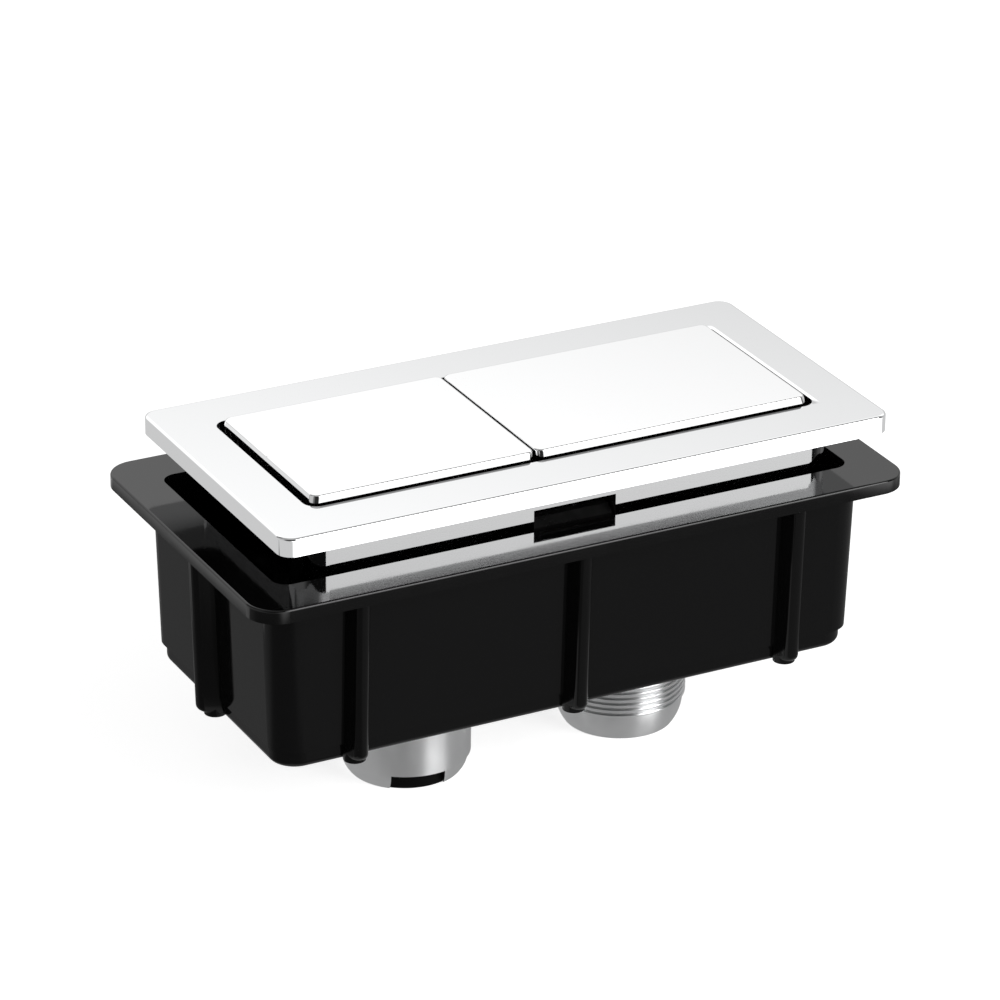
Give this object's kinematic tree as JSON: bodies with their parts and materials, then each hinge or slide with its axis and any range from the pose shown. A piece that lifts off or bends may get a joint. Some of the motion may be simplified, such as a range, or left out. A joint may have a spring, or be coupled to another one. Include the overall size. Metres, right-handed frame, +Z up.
{
  "type": "dual flush button plate",
  "caption": "Rectangular dual flush push button plate that clamps through a cistern lid, with sprung button caps and height-adjustable pusher feet.",
  "frame": {"origin": "on the floor under the middle of the housing flange, with both feet standing on it", "axes": "+X along the plate towards the large button, +Y away from the viewer, +Z up out of the lid"},
  "size_m": [0.1202, 0.0634, 0.062],
  "materials": {
    "bezel_chrome": "polished",
    "button_chrome": "polished",
    "foot_chrome": "bright",
    "housing_black": "gloss",
    "guide_black": "satin",
    "plunger_white": "satin",
    "pad_black": "matte",
    "spring_steel": "bright wire",
    "zinc_steel": "zinc plated"
  },
  "bodies": {
    "plate": {"bezel": "bezel_chrome", "guide_frame": "guide_black", "clamp_screws": "zinc_steel", "clamp_washers": "zinc_steel", "small_return_spring": "spring_steel", "large_return_spring": "spring_steel"},
    "housing": {"housing": "housing_black", "clamp_nuts": "zinc_steel"},
    "small_button": {"small_button": "button_chrome", "small_plunger": "plunger_white", "small_cap_screw": "zinc_steel", "small_retaining_ring": "spring_steel"},
    "large_button": {"large_button": "button_chrome", "large_plunger": "plunger_white", "large_cap_screw": "zinc_steel", "large_retaining_ring": "spring_steel"},
    "small_foot": {"small_foot": "foot_chrome", "small_foot_pad": "pad_black"},
    "large_foot": {"large_foot": "foot_chrome", "large_foot_pad": "pad_black"}
  },
  "joints": [
    {"name": "small_press", "type": "slide", "parent": "plate", "child": "small_button", "axis": [0, 0, 1], "range_m": [-0.0045, 0], "stiffness_N_per_m": 600, "springref_m": 0.006, "deforming": ["small_return_spring"]},
    {"name": "small_foot_adjust", "type": "slide", "parent": "small_button", "child": "small_foot", "axis": [0, 0, 1], "range_m": [-0.004, 0.006]},
    {"name": "large_press", "type": "slide", "parent": "plate", "child": "large_button", "axis": [0, 0, 1], "range_m": [-0.0045, 0], "stiffness_N_per_m": 600, "springref_m": 0.006, "deforming": ["large_return_spring"]},
    {"name": "large_foot_adjust", "type": "slide", "parent": "large_button", "child": "large_foot", "axis": [0, 0, 1], "range_m": [-0.004, 0.006]},
    {"name": "lid_clamp", "type": "slide", "parent": "plate", "child": "housing", "axis": [0, 0, 1], "range_m": [-0.0025, 0.003]}
  ]
}
